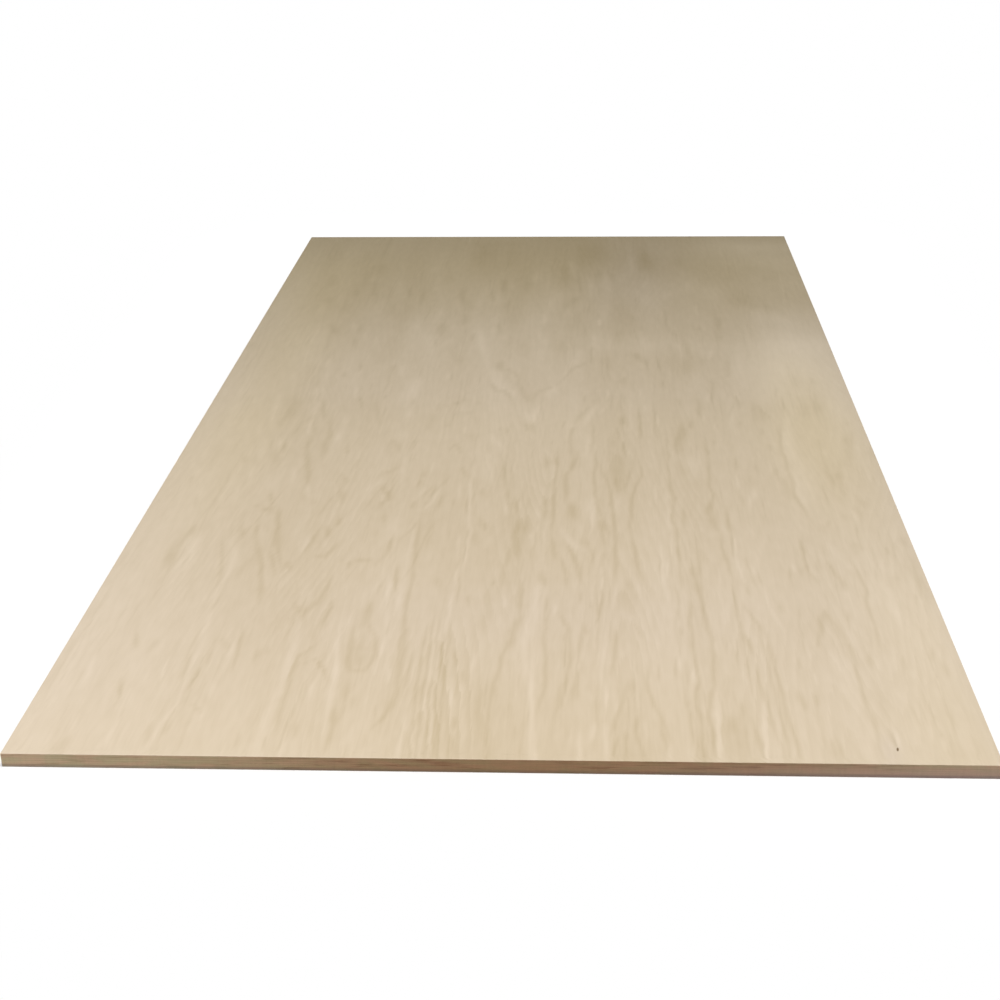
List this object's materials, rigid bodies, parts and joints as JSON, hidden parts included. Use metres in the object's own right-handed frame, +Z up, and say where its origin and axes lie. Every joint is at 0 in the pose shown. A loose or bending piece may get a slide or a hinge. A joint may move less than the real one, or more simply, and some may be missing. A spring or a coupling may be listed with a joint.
{
  "type": "plywood sheet",
  "caption": "Full flat sheet of hardwood-faced plywood, laid up from thin cross-grained veneers, lying on its back veneer.",
  "frame": {"origin": "centre of the underside, on the floor that the sheet lies on", "axes": "+Z up, out of the face veneer; X across the sheet's width; Y along its length and along the face grain, with the short edge that is nearest the viewer at -Y"},
  "size_m": [1.22, 2.44, 0.019],
  "materials": {
    "face_veneer": "pale sanded veneer, unfinished, with faint cathedral grain along the sheet",
    "crossband_ply": "reddish brown core veneer with its grain across the sheet, sawn flush at the edges",
    "lengthwise_ply": "reddish brown core veneer with its grain along the sheet, sawn flush at the edges",
    "back_veneer": "pale sanded veneer, unfinished, slightly darker than the face"
  },
  "bodies": {
    "root": {"face_veneer": "face_veneer", "crossband_ply_02": "crossband_ply", "lengthwise_ply_03": "lengthwise_ply", "crossband_ply_04": "crossband_ply", "lengthwise_ply_05": "lengthwise_ply", "crossband_ply_06": "crossband_ply", "lengthwise_ply_07": "lengthwise_ply", "crossband_ply_08": "crossband_ply", "lengthwise_ply_09": "lengthwise_ply", "crossband_ply_10": "crossband_ply", "lengthwise_ply_11": "lengthwise_ply", "crossband_ply_12": "crossband_ply", "back_veneer": "back_veneer"}
  },
  "joints": []
}
